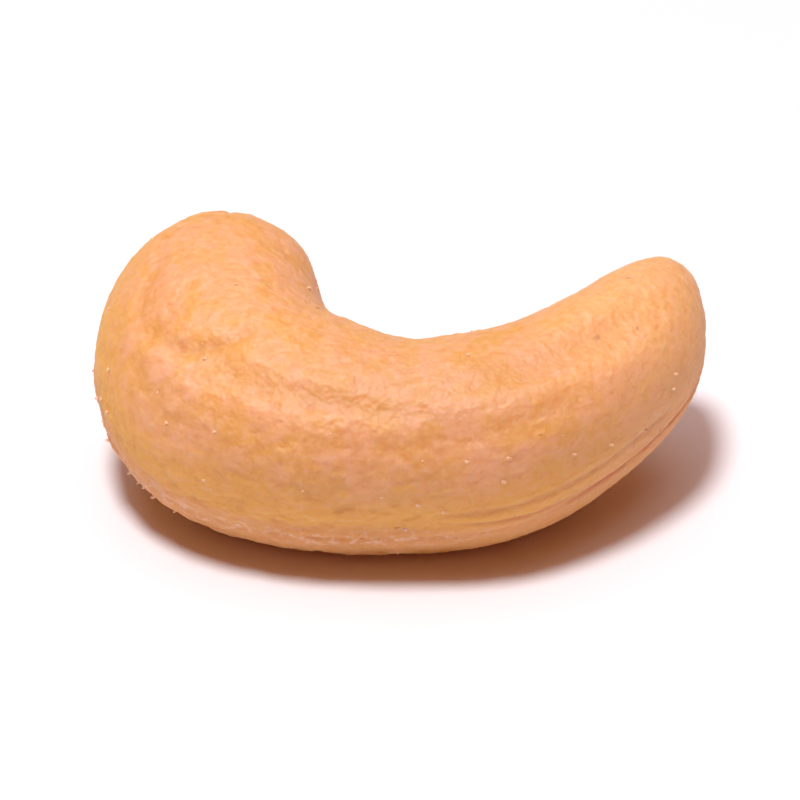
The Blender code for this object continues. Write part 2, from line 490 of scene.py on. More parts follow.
# %% Grow the body
BODY_SIZES = {
    "Rings": 306,
    "Sides": 310,
    "Seam crowding": 0.35,
    "Seam depth": 0.12,
    "Seam half width": 0.15,
    "Nick depth": 0.26,
    "Nick half width": 0.13,
    "Nick reach": 1.1,
    "Nick height": 1.4,
}
SEAM_LEVEL_MM = -0.35
SEAM_WANDER_MM = 0.9
SEAM_WANDER_SCALE = 0.30
SEAM_OPENS = (0.64, 0.72)
CLOSED_SEAM_SHARE = 0.35
NICK_PLACE_MM = LINE_START_MM
NICK_LEVEL_MM = 4.0
LOW_NICK_SHARE = 0.3
HEART_FROM, HEART_TO = 0.12, 0.90
LEAN = math.radians(25)
ROLL = math.radians(-2.5)
FLAT_DEPTH_MM = 0.80


def seam_depth(maker, size, here):
    """How far the seam is pressed in, in millimetres."""
    share, across, _ = place_on_kernel(maker)
    _, _, height = split(maker, here)
    outside = across.math("GREATER_THAN", 0.0)
    wander = maker.swing(here, SEAM_WANDER_SCALE / MM, 1.0)
    line = SEAM_LEVEL_MM * outside + SEAM_WANDER_MM * wander * (1 - outside)
    gap = (height / MM - line) / size["Seam half width"]
    return size["Seam depth"] * gap.bell() * maker.ramp(share, *SEAM_OPENS, CLOSED_SEAM_SHARE, 1.0)


def nick_depth(maker, size, here):
    """How far the nick is pressed in, in millimetres."""
    x, y, z = split(maker, here)
    across = (x / MM - NICK_PLACE_MM[0]) / size["Nick half width"]
    down = (y / MM - NICK_PLACE_MM[1]) / size["Nick reach"]
    up = (z / MM - NICK_LEVEL_MM) / size["Nick height"]
    nick = size["Nick depth"] * across.bell() * down.bell()
    return nick * (LOW_NICK_SHARE + (1 - LOW_NICK_SHARE) * up.bell())


def press_in(maker, body, line, depth_mm):
    """Push points towards the nearest stretch of the middle line."""
    share, _, _ = place_on_kernel(maker)
    heart_share = share.math("MAXIMUM", HEART_FROM).math("MINIMUM", HEART_TO)
    heart = on_line(maker, line, heart_share)[0]
    inward = maker.vector("NORMALIZE", maker.vector("SUBTRACT", heart, position(maker)))
    return move(maker, body, maker.scaled(inward, depth_mm * MM))


def lay_down(maker, body):
    """Lean the kernel over and set it over the origin, sunk by the depth of the flat spot."""
    leaning = maker.add("GeometryNodeTransform", None,
                        {"Geometry": body, "Rotation": (LEAN, ROLL, 0.0)})
    corners = maker.add("GeometryNodeBoundBox", None, {"Geometry": leaning})
    low_x, low_y, low_z = split(maker, corners.output("Min"))
    high_x, high_y, _ = split(maker, corners.output("Max"))
    shift = join(maker, (low_x + high_x) / -2, (low_y + high_y) / -2,
                 -(low_z + FLAT_DEPTH_MM * MM))
    return maker.add("GeometryNodeTransform", None, {"Geometry": leaning, "Translation": shift})


def body_tree(material):
    """The bare kernel, with its place on the straightened kernel stored on every point."""
    maker, geometry, size = start_tree("kernel body", BODY_SIZES)
    line = maker.add("GeometryNodeMeshToCurve", None, {"Mesh": geometry})
    sphere = maker.add("GeometryNodeMeshUVSphere", None,
                       {"Segments": size["Sides"], "Rings": size["Rings"], "Radius": 1.0})
    sphere = store_places(maker, sphere, size["Seam crowding"])
    body = wrap_round_line(maker, sphere, line)
    here = position(maker)
    depth = seam_depth(maker, size, here) + nick_depth(maker, size, here)
    return finish_tree(maker, lay_down(maker, press_in(maker, body, line, depth)), material)


kernel_skin = bpy.data.materials.new("roasted_kernel_skin")
bare_kernel = grow("bare_kernel", middle_line, body_tree(kernel_skin), BODY_SIZES)

# %% [markdown]
# ## Wrinkles and puffs
#
# Up close a roasted kernel is far from smooth. There are shallow dents, long wrinkles over the
# belly, soft puffs where the skin blistered, and fine crinkles towards the bay. A displacement
# picture could hold them, but a formula for each height has no seams and can be changed. Wrinkles
# are read on the straightened kernel, so they bend with the nut.

# %% Formulas for the skin
BELLY_SHARES = (0.12, 0.24, 0.50, 0.80)
BELLY_ACROSS = (-0.75, -0.10, 0.60, 0.88)
CALM_WRINKLES = 0.25
WRINKLE_SCALES = (0.30, 0.95)
CREASE_WEIGHT = 0.30
CREASE_WIDTH = 0.03

PUFF_SCALES = (1.1, 2.3)
SMALL_PUFF_WEIGHT = 0.7
FRONT_ACROSS = (0.10, 0.60)
FRONT_SHARES = (0.14, 0.24, 0.44, 0.62)
ARM_SHARES = (0.60, 0.75)
PUFFS_ANYWHERE, MORE_IN_FRONT, LESS_ON_ARM = 0.75, 1.25, 0.35

BAY_ACROSS = (0.10, -0.60)
BAY_SHARES = (0.26, 0.38, 0.66, 0.80)
CRINKLE_SCALES = (2.0, 0.55)


def across_grain(maker, place, scales):
    """Stretch or squeeze noise along the kernel and across it."""
    along, sideways = scales
    return maker.vector("MULTIPLY", place, (along, sideways, sideways))


def long_wrinkles(maker, share, across, warped):
    """Wrinkles that run along the belly, each with a fine crease down its flank."""
    belly = maker.zone(share, BELLY_SHARES) * maker.zone(across, BELLY_ACROSS)
    waves = maker.swing(across_grain(maker, warped, WRINKLE_SCALES), 1.0, 1.0)
    creases = (waves / CREASE_WIDTH).bell()
    return (CALM_WRINKLES + (1 - CALM_WRINKLES) * belly) * (waves - CREASE_WEIGHT * creases)


def skin_puffs(maker, share, across, place):
    """Small, soft bumps, strong on the front of the belly and weak on the arm."""
    large, small = (maker.noise(place, scale, 1.0) for scale in PUFF_SCALES)
    bumps = large + SMALL_PUFF_WEIGHT * small - (1 + SMALL_PUFF_WEIGHT) / 2
    front = maker.ramp(across, *FRONT_ACROSS) * maker.zone(share, FRONT_SHARES)
    arm = maker.ramp(share, *ARM_SHARES)
    return bumps * (PUFFS_ANYWHERE + MORE_IN_FRONT * front - LESS_ON_ARM * arm)


def bay_crinkles(maker, share, across, warped):
    """Fine crinkles across the kernel, where it bends round the bay."""
    near_bay = maker.ramp(across, *BAY_ACROSS) * maker.zone(share, BAY_SHARES)
    return near_bay * 2 * maker.swing(across_grain(maker, warped, CRINKLE_SCALES), 1.0, 1.0)


# %% [markdown]
# ## The skin along the seam
#
# The outer seam has raised lips and torn, crumbly skin. On the slim arm it opens to a slit, with
# two fine grooves slanting down towards it. A picture would blur lines this close together, so
# they are formulas as well. All heights are added up and pushed out along the normals, and what
# would reach below the floor is flattened on it.

# %% Grow the skin
SKIN_SIZES = {
    "Dent height": 0.20,
    "Wrinkle height": 0.09,
    "Puff height": 0.12,
    "Crinkle height": 0.03,
    "Grain height": 0.05,
    "Lip height": 0.03,
    "Groove depth": 0.08,
    "Seam roughness": 0.08,
}
WARP_SCALE = 0.22
WARP_REACH = 1.6
DENT_SCALE = 0.30
GRAIN_SCALE = 3.6
OUTSIDE_ACROSS = (0.3, 0.8)
OUTSIDE_SHARES = (0.02, 0.08, 0.93, 0.99)
# shares where a groove begins and ends, its first height in mm, its rise and half width
LOW_GROOVE = (0.59, 0.71, 0.65, -6.5, 0.17)
HIGH_GROOVE = (0.58, 0.79, 1.62, -2.6, 0.28)
HIGH_GROOVE_WEIGHT = 0.8
GROOVE_FADE = 0.05
LIP_DISTANCE_MM = 0.50
LIP_HALF_WIDTH_MM = 0.28
TORN_HALF_WIDTH_MM = 0.55
TORN_NOISE = (1.9, 4.0, 0.65)  # scale, detail and roughness
SLIT_HALF_WIDTH_MM = 0.16


def side_groove(maker, share, above_seam, begin, end, height, rise, half_width):
    """A fine line beside the seam that begins at one share, ends at another and slants."""
    line = height + rise * (share - begin)
    reach = maker.zone(share, (begin - GROOVE_FADE, begin, end, end + GROOVE_FADE))
    return reach * ((above_seam - line) / half_width).bell()


def seam_parts(maker, share, across, straight):
    """The raised lips, the fine grooves, the torn skin and the slit of the outer seam."""
    _, _, above_seam = split(maker, straight)
    from_seam = above_seam - SEAM_LEVEL_MM
    outside = maker.ramp(across, *OUTSIDE_ACROSS) * maker.zone(share, OUTSIDE_SHARES)
    lips = outside * ((from_seam.math("ABSOLUTE") - LIP_DISTANCE_MM) / LIP_HALF_WIDTH_MM).bell()
    grooves = outside * (side_groove(maker, share, above_seam, *LOW_GROOVE) + HIGH_GROOVE_WEIGHT
                         * side_groove(maker, share, above_seam, *HIGH_GROOVE))
    torn = outside * (from_seam / TORN_HALF_WIDTH_MM).bell()
    torn = torn * 2 * maker.swing(straight, *TORN_NOISE)
    slit = outside * maker.ramp(share, *SEAM_OPENS) * (from_seam / SLIT_HALF_WIDTH_MM).bell()
    return lips, grooves, torn, slit


def skin_tree(material):
    """All heights of the skin, pushed out along the normals."""
    maker, body, size = start_tree("kernel skin", SKIN_SIZES)
    share, across, _ = place_on_kernel(maker)
    straight = named(maker, "straight", "FLOAT_VECTOR")
    warp = maker.noise(straight, WARP_SCALE).output("Color")
    warped = maker.vector("ADD", straight, maker.scaled(warp, WARP_REACH))
    place = maker.scaled(position(maker), 1 / MM)

    lips, grooves, torn, slit = seam_parts(maker, share, across, straight)
    relief = (size["Wrinkle height"] * long_wrinkles(maker, share, across, warped)
              + size["Puff height"] * skin_puffs(maker, share, across, place)
              + size["Crinkle height"] * bay_crinkles(maker, share, across, warped))
    height = (relief + size["Dent height"] * maker.swing(warped, DENT_SCALE, 1.0)
              + size["Grain height"] * maker.swing(place, GRAIN_SCALE, 0.0)
              + size["Lip height"] * lips - size["Groove depth"] * grooves
              + size["Seam roughness"] * torn)
    body = store(maker, body, "relief", relief)
    body = store(maker, body, "furrow", grooves + slit)
    push = maker.scaled(maker.add("GeometryNodeInputNormal"), height * MM)
    skin = move(maker, body, push)
    x, y, z = split(maker, position(maker))
    resting = join(maker, x, y, z.math("MAXIMUM", 0.0))
    return finish_tree(maker, put(maker, skin, resting), material)


kernel = grow("kernel", bare_kernel.data, skin_tree(kernel_skin), SKIN_SIZES)
bpy.data.objects.remove(bare_kernel)
for face in kernel.data.polygons:
    face.use_smooth = True

# %% [markdown]
# ## The colour of the roast
#
# Oil and heat turn the kernel creamy orange, more golden in blots where it roasted darker, with
# straw on the slim arm. Towards the rim it turns golden orange, partly from the roast and partly
# as painted light: brighter and warmer where the lamp reaches less, as bounced warm light would
# make it. Over the upper belly a painted shade tones down the glare of the lamp. What stands up
# is paler, a painted highlight, and what lies low is deeper, a painted shade, both mixed with
# random mottling. A picture wrapped round the nut would stretch at its ends, so the colours are
# mixed from masks: noise for the blots, and zones on the straightened kernel.

# %% Colours of the roast
CREAM = (0.745, 0.405, 0.212, 1)
GOLDEN = (0.71, 0.38, 0.11, 1)
TINTS = {
    # how strong the tint is where its mask is full, and its colour
    # partly golden roast, partly painted fill light: brighter and warmer where the lamp reaches
    # less
    "amber_and_painted_fill": (0.80, (0.835, 0.455, 0.055, 1)),
    "straw": (0.60, (0.80, 0.47, 0.21, 1)),
    # painted shade over the upper belly, which the key lamp lights too strongly
    "painted_belly_shade": (0.22, (0.45, 0.26, 0.14, 1)),
    # painted highlight on what stands up, mixed with random pale mottles
    "pale_mottle_and_highlight": (0.60, (0.775, 0.45, 0.26, 1)),
    # painted shade in hollows and folds, mixed with random deep mottles; also painted shade by the
    # seam
    "deep_mottle_and_shade": (0.50, (0.66, 0.30, 0.07, 1)),
    "pinkish": (0.65, (0.74, 0.37, 0.165, 1)),
    "furrow brown": (0.50, (0.58, 0.22, 0.09, 1)),
    "chalk": (0.60, (0.84, 0.60, 0.46, 1)),
    "speck": (0.50, (0.36, 0.10, 0.02, 1)),
}
PATCHES = (0.23, 0.36, 0.62)  # scale, low and high, for spots()
BLOTS = (0.70, 0.42, 0.58)
PATCH_WEIGHT = 0.4
MOTTLES = (2.4, 4.0, 0.65)  # scale, detail and roughness of noise
MOTTLE_WEIGHT = 0.40
FOLD_WEIGHT = 0.30
# heights where the painted highlight and the painted shade begin and are full
RAISED_MM = (-0.01, 0.10)
SUNK_MM = (0.01, -0.10)
RIM_PALING = 0.5
# zones in millimetres on the straightened kernel
RIM_SIDEWAYS, RIM_ABOVE_SEAM = (0.3, 3.2), (-0.9, 0.2, 1.6, 4.4)
RIM_WEAK_ARM, RIM_WEAK_END = (20.0, 26.0, 1.0, 0.5), (1.5, 5.5, 0.4, 1.0)
STRAW_ALONG = (22.5, 28.0)
# where the painted shade lies on the upper belly
BELLY_SHADE_ALONG, BELLY_SHADE_SIDEWAYS = (9.0, 14.0, 22.0, 25.0), (-3.5, -0.5, 1.0, 2.8)
BELLY_SHADE_ABOVE_SEAM = (2.5, 4.0)


def surface_value(maker, name, output="Fac"):
    """Read what the geometry trees stored on the points."""
    return maker.add("ShaderNodeAttribute", {"attribute_name": name}, output=output)


def lay_on(maker, color, mask, tint):
    """Blend a tint over a colour where its mask is full."""
    strength, tint_color = TINTS[tint]
    return maker.mix(strength * mask, color, tint_color)


def rim_mask(maker, along, sideways, above_seam):
    """The outer curve above the seam, weaker at the blunt end and on the arm."""
    rim = maker.ramp(sideways, *RIM_SIDEWAYS) * maker.zone(above_seam, RIM_ABOVE_SEAM)
    return rim * maker.ramp(along, *RIM_WEAK_ARM) * maker.ramp(along, *RIM_WEAK_END)


def painted_belly_shade_mask(maker, along, sideways, above_seam):
    """The upper side of the belly, which gets a painted shade against the lamp's glare."""
    belly = maker.zone(along, BELLY_SHADE_ALONG) * maker.zone(sideways, BELLY_SHADE_SIDEWAYS)
    return belly * maker.ramp(above_seam, *BELLY_SHADE_ABOVE_SEAM)


def roast_color(maker, place, straight):
    """The skin's colour before anything is done along the seam."""
    along, sideways, above_seam = split(maker, straight)
    golden = (PATCH_WEIGHT * maker.spots(place, *PATCHES)
              + (1 - PATCH_WEIGHT) * maker.spots(place, *BLOTS))
    rim = rim_mask(maker, along, sideways, above_seam)
    color = maker.mix(golden, CREAM, GOLDEN)
    # golden orange on the rim, partly roast and partly painted fill light on the lower front
    color = lay_on(maker, color, rim, "amber_and_painted_fill")
    color = lay_on(maker, color, maker.ramp(along, *STRAW_ALONG), "straw")
    # painted shade: the upper belly is darkened where the lamp lights it too strongly
    color = lay_on(maker, color, painted_belly_shade_mask(maker, along, sideways, above_seam), "painted_belly_shade")

    relief, folds = (surface_value(maker, name) for name in ("relief", "folds"))
    # painted highlight on raised skin and folds, painted shade in hollows and creases, with random
    # mottling
    lifted = relief + FOLD_WEIGHT * folds + MOTTLE_WEIGHT * maker.swing(place, *MOTTLES)
    highlight_and_pale_mottle = maker.ramp(lifted, *RAISED_MM) * (1 - RIM_PALING * rim)
    color = lay_on(maker, color, highlight_and_pale_mottle, "pale_mottle_and_highlight")
    return lay_on(maker, color, maker.ramp(lifted, *SUNK_MM), "deep_mottle_and_shade")


print("tints over the cream:", ", ".join(TINTS))

# %% [markdown]
# ## The margin of the seam
#
# Along the outer seam the skin keeps a pinkish margin, with chalky crumbs of the thin inner husk
# on it. Below the seam, and on the lower margin round the middle of the kernel, a painted shade
# darkens it where it turns towards the floor. The open slit and the fine grooves are brown. A
# stencil painted by hand would do, but the distance from the seam is known at every point, so the
# margin is a mask on that distance and follows the seam by itself.

# %% Colours along the seam
MARGIN_SIDEWAYS = (1.0, 2.6)
MARGIN_SHRINKS = (15.0, 19.0)
MARGIN_WIDTHS_MM = (1.2, 0.7)
MARGIN_EDGE = (0.6, 1.35)
MARGIN_FOOT_MM = (-2.4, -1.2)
# painted shade below the seam and on the lower margin round the middle of the kernel
SHADE_BELOW_SEAM_MM = (0.1, -0.8)
UNDERSIDE_SHADE_MM = (0.6, 2.2)
UNDERSIDE_SHADE_MIDDLE_MM = 15.5
UNDERSIDE_SHADE_REACH_MM = 4.0
UNDERSIDE_SHADE_WEIGHT = 1.1
CRUMBS = (2.2, 0.48, 0.66, 3.0, 0.6)
CHALK_HALF_WIDTH_MM = 0.75
CHALK_ENDS = (17.0, 21.0)


def seam_colors(maker, color, place, straight):
    """Colour the margin, the furrows and the crumbs. Returns the colour and the margin's mask."""
    along, sideways, above_seam = split(maker, straight)
    from_seam = above_seam - SEAM_LEVEL_MM
    outside = maker.ramp(sideways, *MARGIN_SIDEWAYS)
    width = maker.ramp(along, *MARGIN_SHRINKS, *MARGIN_WIDTHS_MM)
    inner_edge, outer_edge = (part * width for part in MARGIN_EDGE)
    margin = outside * maker.ramp(from_seam, inner_edge, outer_edge, 1.0, 0.0)
    margin = margin * maker.ramp(from_seam, *MARGIN_FOOT_MM)
    color = lay_on(maker, color, margin, "pinkish")

    # painted shade: darker below the seam, where the kernel faces the floor, and on the lower
    # margin round the middle
    under = outside * maker.ramp(from_seam, *SHADE_BELOW_SEAM_MM)
    underside_shade = outside * maker.ramp(from_seam, *UNDERSIDE_SHADE_MM, 1.0, 0.0)
    underside_shade = underside_shade * ((along - UNDERSIDE_SHADE_MIDDLE_MM) / UNDERSIDE_SHADE_REACH_MM).bell()
    color = lay_on(maker, color, under.math("MAXIMUM", UNDERSIDE_SHADE_WEIGHT * underside_shade), "deep_mottle_and_shade")
    color = lay_on(maker, color, surface_value(maker, "furrow"), "furrow brown")

    chalk = outside * (from_seam / CHALK_HALF_WIDTH_MM).bell() * maker.spots(place, *CRUMBS)
    color = lay_on(maker, color, chalk * maker.ramp(along, *CHALK_ENDS, 1.0, 0.0), "chalk")
    return color, margin


# %% [markdown]
# ## Specks and finish
#
# A few dark specks of husk stay on the skin, each with its place in a table and its edge frayed
# by noise. A thin film of oil lies over fine pores: a satin roughness that varies, and a shallow
# bump for what is finer than the mesh. Flesh lets some light through. Plain paint would look like
# plastic, so light is scattered under the surface, which softens the shadows.

# %% Paint the skin
SPECKS = (
    # along, sideways and above the seam in mm, then the radius in mm
    (9.2, -3.8, 3.9, 0.22), (26.2, 0.2, 5.0, 0.20), (27.8, 1.1, 4.5, 0.12),
    (22.0, 2.7, 4.6, 0.12), (16.6, 4.4, 0.8, 0.16), (15.4, 4.5, -0.3, 0.15),
    (13.0, 3.4, 4.6, 0.10), (17.9, 0.0, 5.9, 0.09), (12.5, 1.5, -5.6, 0.16),
    (20.4, -2.2, -4.6, 0.12), (6.1, 3.8, -3.9, 0.18), (25.5, 1.8, -4.0, 0.10),
)
SPECK_CORE = 0.4
FRAY_SCALE = 5.0
FRAY_REACH_MM = 0.25
SATIN_ROUGHNESS = 0.46
OILINESS = (1.2, 3.0)
OILINESS_WEIGHT = 0.20
MARGIN_ROUGHER = 0.10
PORES = (2.6, 1.0)
PORE_DEPTH = 0.00010
FLESH = {
    "Specular IOR Level": 0.55,
    "Subsurface Weight": 0.70,
    "Subsurface Radius": (1.0, 0.45, 0.20),
    "Subsurface Scale": 0.0018,
}


def start_material(material):
    material.use_nodes = True
    material.node_tree.nodes.clear()
    return NodeMaker(material.node_tree)


def finish_material(maker, sockets):
    shader = maker.add("ShaderNodeBsdfPrincipled", None, sockets)
    maker.add("ShaderNodeOutputMaterial", None, {"Surface": shader})
    print("material with", len(maker.tree.nodes), "nodes")


def husk_specks(maker, color, place, straight):
    """Dark specks with frayed edges."""
    ragged = maker.vector("ADD", straight,
                          maker.scaled(maker.shake(place, FRAY_SCALE), FRAY_REACH_MM))
    for *centre, radius in SPECKS:
        away = maker.vector("DISTANCE", ragged, tuple(centre), output="Value")
        speck = maker.ramp(away, SPECK_CORE * radius, radius, 1.0, 0.0)
        color = lay_on(maker, color, speck, "speck")
    return color


def paint_kernel(material):
    maker = start_material(material)
    straight = surface_value(maker, "straight", "Vector")
    place = maker.scaled(maker.add("ShaderNodeTexCoord", output="Object"), 1 / MM)
    color = roast_color(maker, place, straight)
    color, margin = seam_colors(maker, color, place, straight)
    color = husk_specks(maker, color, place, straight)
    roughness = (SATIN_ROUGHNESS + OILINESS_WEIGHT * maker.noise(place, *OILINESS)
                 + MARGIN_ROUGHER * margin)
    bump = maker.add("ShaderNodeBump", None, {
        "Height": maker.noise(place, *PORES), "Distance": PORE_DEPTH, "Strength": 1.0})
    finish_material(maker, {"Base Color": color, "Roughness": roughness, "Normal": bump, **FLESH})


paint_kernel(kernel_skin)

# %% [markdown]
# ## Salt
#
# A little fine salt sticks to the oily skin. Placing every grain by hand would take a day, while
# chance alone would miss the few that stand out. So those get a place of their own, as a mark on
# the nearest point of the kernel. The rest are scattered by a seeded node, but not down where the
# kernel rests. The flakes of the seam are placed the same way further on.

# %% Marks and scattered points
SECTION_RADIUS_MM = 5.0
CLEAR_OF_FLOOR_MM = (0.3, 0.6)


def point_numbers(name):
    """Read an attribute of the kernel's points."""
    data = kernel.data.attributes[name].data
    numbers = np.empty(len(data), dtype=np.float32)
    data.foreach_get("value", numbers)
    return numbers


def mark_places(name, places):
    """Set an attribute to 1 on the points that lie closest to places on the kernel."""
    share, across, through = (point_numbers(part) for part in ("share", "across", "through"))
    unsquared = SECTION_POWER / 2
    degrees = np.degrees(np.arctan2(np.sign(through) * np.abs(through) ** unsquared,
                                    np.sign(across) * np.abs(across) ** unsquared))
    marks = np.zeros(len(share), dtype=np.float32)
    for place_share, place_degrees in places:
        turn = (degrees - place_degrees + 180) % 360 - 180
        away = (((share - place_share) * LINE_LENGTH_MM) ** 2
                + np.radians(turn) ** 2 * SECTION_RADIUS_MM ** 2)
        marks[np.argmin(away)] = 1
    kernel.data.attributes.new(name, "FLOAT", "POINT").data.foreach_set("value", marks)
    print(name, "marks:", int(marks.sum()))


def scattered_points(maker, mesh, per_square_mm, seed):
    """Random points on the mesh, except down where it rests on the floor."""
    _, _, height = split(maker, position(maker))
    clear = maker.ramp(height / MM, *CLEAR_OF_FLOOR_MM)
    return maker.add("GeometryNodeDistributePointsOnFaces", {"distribute_method": "RANDOM"},
                     {"Mesh": mesh, "Density": per_square_mm * clear / MM**2, "Seed": seed})


def gather(maker, *parts):
    """Join several geometries into one."""
    joined = maker.add("GeometryNodeJoinGeometry")
    for part in reversed(parts):
        maker.tree.links.new(part.socket, joined.socket.node.inputs[0])
    return joined


def chance_vector(maker, low, high, seed):
    """Three random numbers for every point."""
    return maker.add("FunctionNodeRandomValue", {"data_type": "FLOAT_VECTOR"},
                     {0: low, 1: high, "Seed": seed})


def chance_size(maker, smallest, largest, seed):
    """A random size for every point, far more often small than large."""
    chance = maker.add("FunctionNodeRandomValue", {"data_type": "FLOAT"},
                       {2: 0.0, 3: 1.0, "Seed": seed}, output=1)
    return smallest + (largest - smallest) * chance ** 2


def sized_points(maker, skin, size, kind, mark, per_square_mm):
    """Marked points and scattered points, each with the size of its grain or flake."""
    skin = store(maker, skin, "outward", maker.add("GeometryNodeInputNormal"), "FLOAT_VECTOR")
    marked = named(maker, mark).math("GREATER_THAN", 0.5)
    known = maker.add("GeometryNodeMeshToPoints", None, {"Mesh": skin, "Selection": marked})
    loose = scattered_points(maker, skin, per_square_mm, size["Seed"])
    chance = chance_size(maker, size["Smallest " + kind], size["Largest " + kind], size["Seed"])
    return (store(maker, known, kind, size["Known " + kind]),
            store(maker, loose, kind, chance))


def set_on_points(maker, points, piece, turn, scale, roughness, material):
    """Set a piece on every point, make all of them real and roughen them one by one."""
    pieces = maker.add("GeometryNodeInstanceOnPoints", None, {
        "Points": points, "Instance": piece, "Rotation": turn, "Scale": scale})
    real = maker.add("GeometryNodeRealizeInstances", None, {"Geometry": pieces})
    bumps_per_mm, reach_mm = roughness
    wobble = maker.shake(position(maker), bumps_per_mm / MM, 1.0)
    rough = move(maker, real, maker.scaled(wobble, reach_mm * MM))
    return finish_tree(maker, rough, material)


# %% [markdown]
# ## The grains
#
# The grains are worn cubes, most of them under a fifth of a millimetre. Painted dots would cast no
# shade, so one small crystal with 48 triangles is set on every point, sunk in a little, turned and
# sized at random. Then all are made real and roughened, each in its own way.

# %% Sprinkle the salt
SALT_PLACES = (
    # share along the kernel, degrees round it: 0 is the seam, 90 the upper side, 180 the bay
    (0.780, 12), (0.738, 23), (0.693, 32), (0.627, 47), (0.619, 33), (0.582, 49), (0.550, 18),
    (0.525, 23), (0.318, 51), (0.280, 42), (0.262, 74), (0.213, 30), (0.220, 13), (0.233, 15),
    (0.842, 31), (0.829, 23), (0.905, 107), (0.174, 147),
)
SALT_SIZES = {
    "Grains per square mm": 0.11,
    "Smallest grain": 0.05,
    "Largest grain": 0.15,
    "Known grain": 0.17,
    "Seed": 11,
}
CORNER_WEAR = 0.35
CORNER_REACH = 0.62
SUNK_SHARE = 0.15
GRAIN_PROPORTIONS = ((0.7, 0.7, 0.6), (1.35, 1.1, 1.0))
GRAIN_ROUGHNESS = (9.0, 0.06)  # bumps per millimetre, and their reach in millimetres


def salt_points(maker, skin, size):
    """All places of salt, sunk in a little."""
    known, loose = sized_points(maker, skin, size, "grain", "salted",
                                size["Grains per square mm"])
    inward = maker.scaled(named(maker, "outward", "FLOAT_VECTOR"),
                          named(maker, "grain") * -SUNK_SHARE * MM)
    return move(maker, gather(maker, known, loose), inward)


def worn_cube(maker):
    """A cube one unit wide, with its corners worn towards a ball."""
    cube = maker.add("GeometryNodeMeshCube", None, {
        "Size": (1, 1, 1), "Vertices X": 3, "Vertices Y": 3, "Vertices Z": 3})
    corner = position(maker)
    ball = maker.scaled(maker.vector("NORMALIZE", corner), CORNER_REACH)
    worn = maker.vector("ADD", maker.scaled(corner, 1 - CORNER_WEAR),
                        maker.scaled(ball, CORNER_WEAR))
    return put(maker, cube, worn)


def salt_tree(material):
    """Worn salt cubes on marked and scattered points."""
    maker, skin, size = start_tree("salt", SALT_SIZES)
    proportions = chance_vector(maker, *GRAIN_PROPORTIONS, size["Seed"] + 1)
    scale = maker.scaled(proportions, named(maker, "grain") * MM)
    turn = chance_vector(maker, (0, 0, 0), (math.tau,) * 3, size["Seed"] + 2)
    return set_on_points(maker, salt_points(maker, skin, size), worn_cube(maker), turn, scale,
                         GRAIN_ROUGHNESS, material)


mark_places("salted", SALT_PLACES)
salt_white = bpy.data.materials.new("salt_white")
salt = grow("salt", kernel.data, salt_tree(salt_white), SALT_SIZES)

# %% [markdown]
# ## The finish of the salt
#
# Salt is clear, but a grain this small looks frosted: its faces are scratched and it shows the
# warm skin below. Clear glass would need many bounces of light and look grey at this size. So the
# grain is a pale, warm solid with patches of frost, fairly glossy, that lets some light in.

# %% Paint the salt
SALT_FROST = (0.87, 0.57, 0.35, 1)
SALT_CLEAR = (0.80, 0.45, 0.21, 1)
FROST = (4.0 / MM, 0.35, 0.60)
CLEAR_AND_FROST_ROUGHNESS = (0.40, 0.65)
SALT_BODY = {
    "Subsurface Weight": 0.4,
    "Subsurface Radius": (1.0, 0.8, 0.6),
    "Subsurface Scale": 0.0003,
}


def paint_spotted(material, spots, colors, roughness, body):
    """Soft spots over a ground. Colours and roughness are given for ground and spots."""
    maker = start_material(material)
    mask = maker.spots(maker.add("ShaderNodeTexCoord", output="Object"), *spots)
    ground, spotted = roughness
    finish_material(maker, {"Base Color": maker.mix(mask, *colors),
                            "Roughness": ground + (spotted - ground) * mask, **body})


paint_spotted(salt_white, FROST, (SALT_CLEAR, SALT_FROST), CLEAR_AND_FROST_ROUGHNESS, SALT_BODY)

# %% [markdown]
# ## Torn skin on the seam
#
# The thin inner husk tore off along the seam and left pale crumbs and flakes, most of them low on
# the blunt lobe. Hair particles would look too soft and even. So they are thin closed chips with
# pointed ends, scattered on a band along the seam. Each is turned to lie on the surface and then
# tipped at random. The marked ones on the lobe are tipped further, until they stand up.

# %% Scatter the flakes
FLAKE_PLACES = (
    # share along the kernel, degrees round it
    (0.213, 4), (0.236, -5), (0.257, -15), (0.266, -16), (0.271, -17), (0.284, -18), (0.299, -19),
    (0.470, 3), (0.510, 5), (0.800, 2),
)
FLAKE_SIZES = {
    "Flakes per square mm": 5.5,
    "Band half width": 0.42,
    "Smallest flake": 0.08,
    "Largest flake": 0.26,
    "Known flake": 0.36,
    "Seed": 23,
}
FLAKES_ANYWHERE = 0.15
FLAKE_CROWDS = (
    # middle as a share along the kernel, reach, weight
    (0.24, 0.13, 0.85), (0.55, 0.12, 0.35),
)
FLAKE_CLUMPS = (0.9, 0.42, 0.62)
FLAKE_SIDE = 0.4
STANDING_BEFORE = 0.4
STANDING_TILT = 1.4
LARGEST_TIP = 0.8
CHIP_PROPORTIONS = (1.0, 0.55, 0.15)
CHIP_TAPER = 3.2
CHIP_ROUGHNESS = (5.0, 0.16)


def flake_density(maker, size):
    """Flakes per square millimetre: only near the outer seam, crowded and in clumps."""
    share, across, _ = place_on_kernel(maker)
    straight = named(maker, "straight", "FLOAT_VECTOR")
    _, _, above_seam = split(maker, straight)
    band = ((above_seam - SEAM_LEVEL_MM) / size["Band half width"]).bell()
    band = band * across.math("GREATER_THAN", FLAKE_SIDE)
    crowd = FLAKES_ANYWHERE
    for middle, reach, weight in FLAKE_CROWDS:
        crowd = crowd + weight * ((share - middle) / reach).bell()
    clumps = maker.spots(straight, *FLAKE_CLUMPS)
    return size["Flakes per square mm"] * band * crowd * clumps


